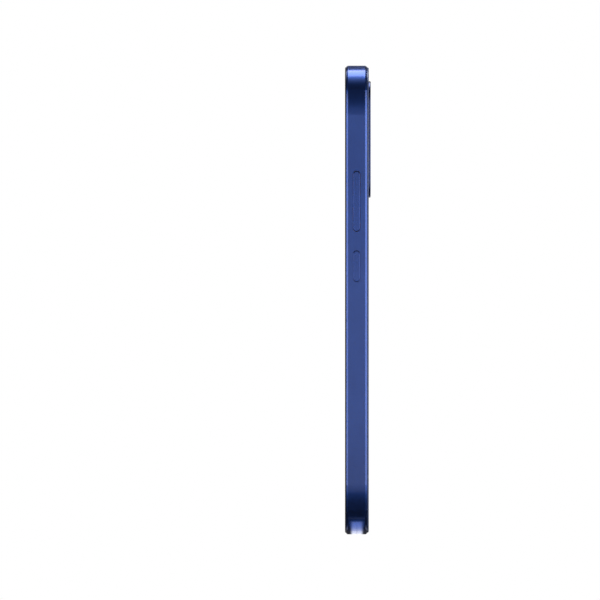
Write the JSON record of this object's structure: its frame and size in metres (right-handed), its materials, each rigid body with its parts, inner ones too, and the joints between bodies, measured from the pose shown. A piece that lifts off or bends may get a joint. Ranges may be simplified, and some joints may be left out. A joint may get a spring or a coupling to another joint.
{
  "type": "smartphone",
  "caption": "Slim smartphone standing on its bottom end, with side keys, SIM tray, USB-C socket, camera island and the pieces inside.",
  "frame": {"origin": "middle of the bottom end, which the phone stands on", "axes": "+Z from the bottom end to the top end, -Y the display side, +Y the camera side, +X the edge with the keys"},
  "size_m": [0.077, 0.0091, 0.1656],
  "materials": {
    "frame_blue": "satin metallic blue paint",
    "key_blue": "satin metallic blue paint",
    "cover_blue": "matte blue backed glass",
    "island_blue": "satin blue",
    "black_glass": "polished black",
    "ring_metal": "bright blue anodised",
    "flash_lens": "clear ribbed",
    "plate_metal": "machined",
    "panel": "dark layered",
    "foam": "matte foam",
    "adhesive": "matte tape",
    "graphite": "dark sheen",
    "board_green": "solder mask",
    "chip_black": "moulded",
    "can_steel": "bright tinned",
    "ribbon": "amber film",
    "bracket_black": "moulded",
    "module_black": "fine matte",
    "battery_foil": "black wrapped pouch"
  },
  "bodies": {
    "housing": {"antenna_cable": "bracket_black", "back_cover": "cover_blue", "back_cover_adhesive": "adhesive", "battery_adhesive": "adhesive", "battery_board": "board_green", "battery_cell": "battery_foil", "board_chips": "chip_black", "board_connectors": "chip_black", "bottom_microphone": "module_black", "bracket_screws": "can_steel", "camera_flexes": "ribbon", "camera_island": "island_blue", "depth_camera": "module_black", "display_adhesive": "adhesive", "display_cushion": "foam", "display_flex": "ribbon", "display_glass": "black_glass", "display_panel": "panel", "earpiece_mesh": "can_steel", "earpiece_receiver": "module_black", "flash_led": "module_black", "flash_window": "flash_lens", "front_camera": "module_black", "graphite_sheet": "graphite", "key_bracket": "can_steel", "key_domes": "can_steel", "key_flex": "ribbon", "lens_rings": "ring_metal", "lens_windows": "black_glass", "lower_bracket": "bracket_black", "macro_camera": "module_black", "main_camera_housing": "module_black", "main_flex": "ribbon", "mainboard": "board_green", "mid_plate": "plate_metal", "nfc_antenna": "ribbon", "shield_cans": "can_steel", "side_frame": "frame_blue", "sim_socket": "can_steel", "speaker_box": "bracket_black", "speaker_magnet": "plate_metal", "speaker_mesh": "can_steel", "sub_board": "board_green", "thermal_pad": "foam", "top_microphone": "module_black", "upper_bracket": "bracket_black", "usb_shell": "can_steel", "usb_tongue": "bracket_black", "vibration_motor_boot": "foam", "vibration_motor_can": "can_steel", "wide_camera": "module_black"},
    "volume_rocker": {"volume_key": "key_blue"},
    "power_button": {"power_key": "key_blue"},
    "tray": {"sim_tray": "key_blue", "sim_tray_seal": "foam"},
    "ejector_rod": {"eject_rod": "can_steel"},
    "ejector_lever": {"eject_lever": "can_steel"},
    "lens_barrel": {"main_camera_barrel": "module_black"},
    "diaphragm": {"speaker_diaphragm": "module_black"},
    "motor_weight": {"vibration_motor_weight": "can_steel"}
  },
  "joints": [
    {"name": "volume_tilt", "type": "hinge", "parent": "housing", "child": "volume_rocker", "pos_m": [0.0367, -0.0001, 0.1177], "axis": [0, 1, 0], "range_deg": [-1.5, 1.5], "stiffness_Nm_per_rad": 0.46},
    {"name": "power_press", "type": "slide", "parent": "housing", "child": "power_button", "axis": [-1, 0, 0], "range_m": [0, 0.00025], "stiffness_N_per_m": 6400},
    {"name": "tray_pull", "type": "slide", "parent": "housing", "child": "tray", "axis": [0, 0, -1], "range_m": [0, 0.02]},
    {"name": "eject_push", "type": "slide", "parent": "housing", "child": "ejector_rod", "axis": [0, 0, 1], "range_m": [0, 0.0008]},
    {"name": "eject_lever_turn", "type": "hinge", "parent": "housing", "child": "ejector_lever", "pos_m": [-0.0142, -0.0001, 0.01905], "axis": [0, -1, 0], "range_deg": [0, 16]},
    {"name": "lens_focus", "type": "slide", "parent": "housing", "child": "lens_barrel", "axis": [0, 1, 0], "range_m": [0, 0.0003], "stiffness_N_per_m": 200},
    {"name": "diaphragm_stroke", "type": "slide", "parent": "housing", "child": "diaphragm", "axis": [0, 1, 0], "range_m": [-0.0003, 0.0003], "stiffness_N_per_m": 900},
    {"name": "motor_spin", "type": "hinge", "parent": "housing", "child": "motor_weight", "pos_m": [-0.0262, 0.00068, 0.02113], "axis": [1, 0, 0], "continuous": true}
  ],
  "couplings": [
    {"joint": "eject_lever_turn", "follows": "eject_push", "rad_per_m": 349}
  ]
}
